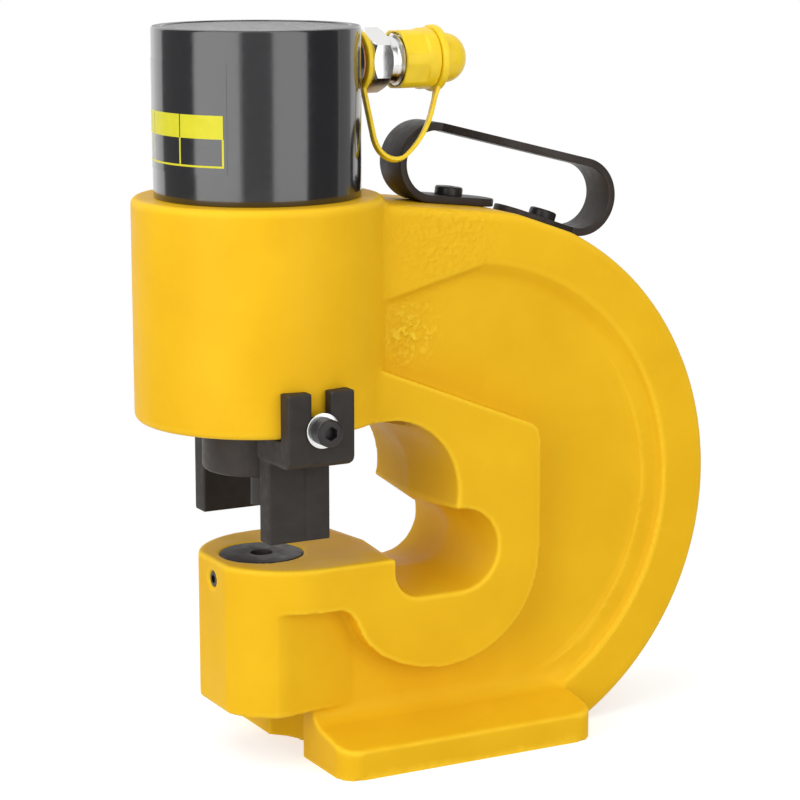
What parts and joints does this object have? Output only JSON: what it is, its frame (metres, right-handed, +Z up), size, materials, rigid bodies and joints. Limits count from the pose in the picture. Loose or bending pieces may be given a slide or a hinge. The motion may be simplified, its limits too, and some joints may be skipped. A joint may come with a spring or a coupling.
{
  "type": "hydraulic hole punch",
  "caption": "Portable hydraulic punch with a cast C-shaped frame, upright oil cylinder, spring-returned ram, punch and die, stripper fork, strap handle and capped oil coupler.",
  "frame": {"origin": "middle of the base flange's underside, on the surface that the punch stands on", "axes": "+Z up along the ram, +X from the nose towards the round back of the frame, +Y across the frame"},
  "size_m": [0.2995, 0.1554, 0.36],
  "materials": {
    "yellow_paint": "gloss paint on a sand-cast surface",
    "black_gloss": "gloss black",
    "black_satin": "satin black",
    "forged_black": "matt black oxide",
    "black_steel": "black oxide",
    "tool_steel": "dark hardened steel",
    "ground_steel": "ground and hard chromed",
    "spring_steel": "drawn wire",
    "zinc": "bright zinc plate",
    "copper": "dull copper",
    "bronze": "turned bronze",
    "black_rubber": "moulded",
    "seal": "polyurethane",
    "yellow_plastic": "moulded soft plastic"
  },
  "bodies": {
    "frame": {"c_frame": "yellow_paint", "cylinder_barrel": "black_gloss", "rod_guide_bush": "bronze", "rod_wiper": "black_rubber", "return_spring": "spring_steel", "die": "tool_steel", "die_set_screw": "black_steel", "stripper_screws": "black_steel", "stripper_washers": "zinc", "handle_strap": "black_satin", "handle_bolts": "black_steel", "coupler_washer": "copper", "coupler_adapter": "zinc", "coupler_body": "zinc", "check_spring": "spring_steel", "cap_tether": "yellow_plastic"},
    "ram": {"ram_piston": "ground_steel", "piston_seal": "seal", "piston_backup_ring": "seal", "piston_wear_ring": "seal", "punch_retaining_nut": "black_steel", "punch": "tool_steel"},
    "stripper": {"stripper_fork": "forged_black"},
    "check_valve": {"check_ball": "spring_steel"},
    "cap_ring": {"tether_cap_ring": "yellow_plastic"},
    "cap": {"dust_cap": "yellow_plastic"}
  },
  "joints": [
    {"name": "ram_stroke", "type": "slide", "parent": "frame", "child": "ram", "axis": [0, 0, -1], "range_m": [0, 0.028], "stiffness_N_per_m": 6000, "springref_m": -0.04, "deforming": ["return_spring"]},
    {"name": "stripper_height", "type": "slide", "parent": "frame", "child": "stripper", "axis": [0, 0, -1], "range_m": [0, 0.01]},
    {"name": "check_lift", "type": "slide", "parent": "frame", "child": "check_valve", "axis": [-1, 0, 0], "range_m": [0, 0.0025], "stiffness_N_per_m": 800, "springref_m": -0.004, "deforming": ["check_spring"]},
    {"name": "cap_slide", "type": "slide", "parent": "frame", "child": "cap_ring", "axis": [1, 0, 0], "range_m": [0, 0.0161], "deforming": ["cap_tether"]},
    {"name": "cap_turn", "type": "hinge", "parent": "cap_ring", "child": "cap", "pos_m": [0.0051, 0, 0.3415], "axis": [1, 0, 0], "range_deg": [0, 1440]}
  ],
  "couplings": [
    {"joint": "cap_slide", "follows": "cap_turn", "m_per_rad": 0.00063662}
  ]
}
